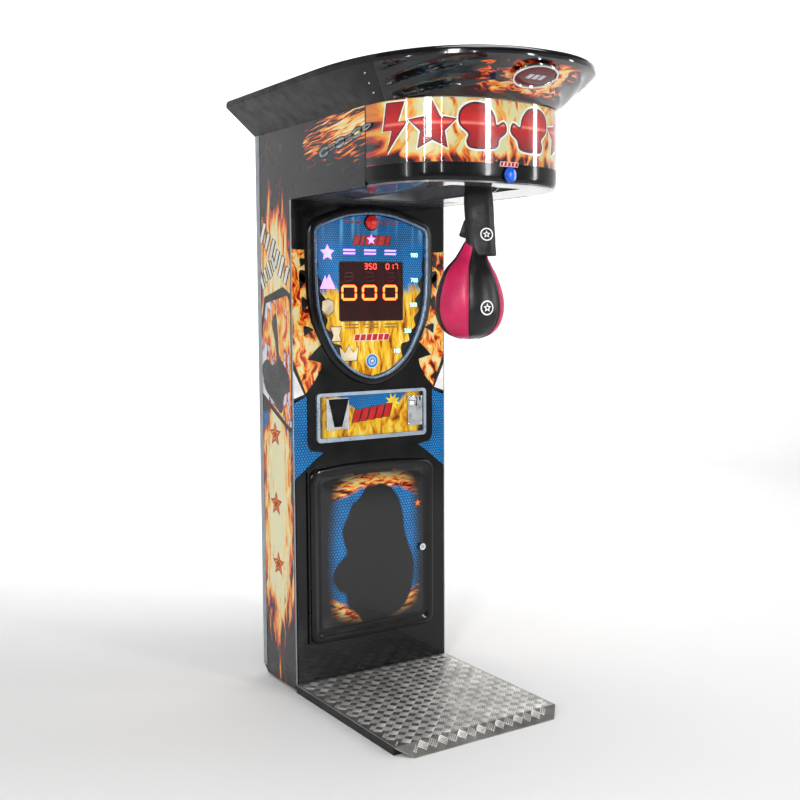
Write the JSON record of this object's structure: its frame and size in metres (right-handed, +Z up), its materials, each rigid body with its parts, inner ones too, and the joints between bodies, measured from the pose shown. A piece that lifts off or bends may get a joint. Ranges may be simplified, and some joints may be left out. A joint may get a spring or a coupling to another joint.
{
  "type": "boxing punch machine",
  "caption": "Free-standing arcade punch machine: column with score shield, coin panel and service door, tread-plate platform, and a marquee head with a swinging punching bag.",
  "frame": {"origin": "centre of the footprint box, at floor level", "axes": "+Z up; -Y towards the player, so +Y points from the platform to the back of the column; +X to the right seen from the player"},
  "size_m": [0.872, 1.245, 2.12],
  "materials": {
    "side_art": "printed flame artwork on laminated board",
    "edge_metal": "satin grey profile",
    "black_moulding": "gloss black vacuum-formed plastic",
    "black_board": "matt black laminate",
    "raw_board": "plain board inside the cabinet",
    "tread_plate": "raised tread pattern, worn on top",
    "shield_trim": "blue-grey metallic",
    "printed_panel": "back-printed clear panel with lit score fields",
    "red_filter": "dark red display filter",
    "red_lens": "glossy red lens",
    "blue_lens": "translucent blue button cap",
    "circuit": "solder mask green",
    "steel": "ground steel",
    "zinc": "zinc-plated sheet",
    "underside": "light grey powder coat",
    "marquee_clear": "clear curved acrylic",
    "marquee_print": "backlit printed film",
    "lamp": "white lamp tube",
    "roof_gloss": "gloss black moulded shell",
    "roof_matt": "textured black moulded shell",
    "badge": "dark red oval with silver rim",
    "black_vinyl": "padded black vinyl",
    "bag_leather": "red and black vinyl panels with piping",
    "rubber": "black rubber"
  },
  "bodies": {
    "cabinet": {"side_panel_left": "side_art", "side_panel_right": "side_art", "rear_edge_profile_left": "edge_metal", "rear_edge_profile_right": "edge_metal", "coin_panel_frame": "edge_metal", "back_panel": "black_board", "platform_base": "black_board", "front_board": "black_board", "top_board": "raw_board", "bottom_board": "raw_board", "levelling_foot_1": "rubber", "levelling_foot_2": "rubber", "arm_buffer": "rubber", "platform_plate": "tread_plate", "shield_bezel": "black_moulding", "nose_band": "black_moulding", "start_button_bezel": "black_moulding", "coin_return_cup": "black_moulding", "coin_validator": "black_moulding", "optical_sensor": "black_moulding", "power_inlet": "black_moulding", "speaker": "black_moulding", "shield_trim": "shield_trim", "score_panel": "printed_panel", "coin_panel_plate": "printed_panel", "led_window": "red_filter", "led_board": "circuit", "control_board": "circuit", "beacon_lamp": "red_lens", "coin_return_bezel": "steel", "coin_mech_plate": "steel", "door_hinge": "steel", "shaft_bearing_left": "steel", "shaft_bearing_right": "steel", "coin_chute": "zinc", "cash_box": "zinc", "arm_frame_left": "zinc", "arm_frame_right": "zinc", "arm_frame_rear": "zinc", "buffer_bar": "zinc", "latch_solenoid": "zinc", "power_supply": "zinc", "underside_plate": "underside", "marquee_cover": "marquee_clear", "marquee_film": "marquee_print", "marquee_lamp": "lamp", "roof_front_shell": "roof_gloss", "roof_rear_cap": "roof_matt", "roof_badge": "badge"},
    "swinging_arm": {"pivot_shaft": "steel", "punch_arm": "steel", "arm_sleeve": "black_vinyl", "punching_bag": "bag_leather"},
    "start_button": {"start_button": "blue_lens"},
    "coin_reject_button": {"coin_reject_button": "steel"},
    "coin_return_flap": {"coin_return_flap": "black_moulding"},
    "service_door": {"service_door": "black_moulding", "door_lock_barrel": "steel"},
    "door_lock": {"door_lock_cam": "zinc"},
    "latch": {"latch_hook": "steel"}
  },
  "joints": [
    {"name": "arm_swing", "type": "hinge", "parent": "cabinet", "child": "swinging_arm", "pos_m": [0, -0.2725, 1.8], "axis": [1, 0, 0], "range_deg": [0, 88]},
    {"name": "start_button_press", "type": "slide", "parent": "cabinet", "child": "start_button", "axis": [0, 1, 0], "range_m": [0, 0.005], "stiffness_N_per_m": 500},
    {"name": "coin_reject_press", "type": "slide", "parent": "cabinet", "child": "coin_reject_button", "axis": [0, 1, 0], "range_m": [0, 0.004], "stiffness_N_per_m": 400},
    {"name": "coin_flap_swing", "type": "hinge", "parent": "cabinet", "child": "coin_return_flap", "pos_m": [-0.143, 0.3505, 1.046], "axis": [1, 0, 0], "range_deg": [0, 55]},
    {"name": "service_door_swing", "type": "hinge", "parent": "cabinet", "child": "service_door", "pos_m": [-0.2715, 0.3475, 0.48], "axis": [0, 0, -1], "range_deg": [0, 110]},
    {"name": "door_lock_turn", "type": "hinge", "parent": "service_door", "child": "door_lock", "pos_m": [0.212, 0.36, 0.47], "axis": [0, -1, 0], "range_deg": [0, 90]},
    {"name": "latch_turn", "type": "hinge", "parent": "cabinet", "child": "latch", "pos_m": [0, -0.3675, 1.88], "axis": [1, 0, 0], "range_deg": [0, 20], "stiffness_Nm_per_rad": 0.06, "springref_deg": -34.38}
  ]
}
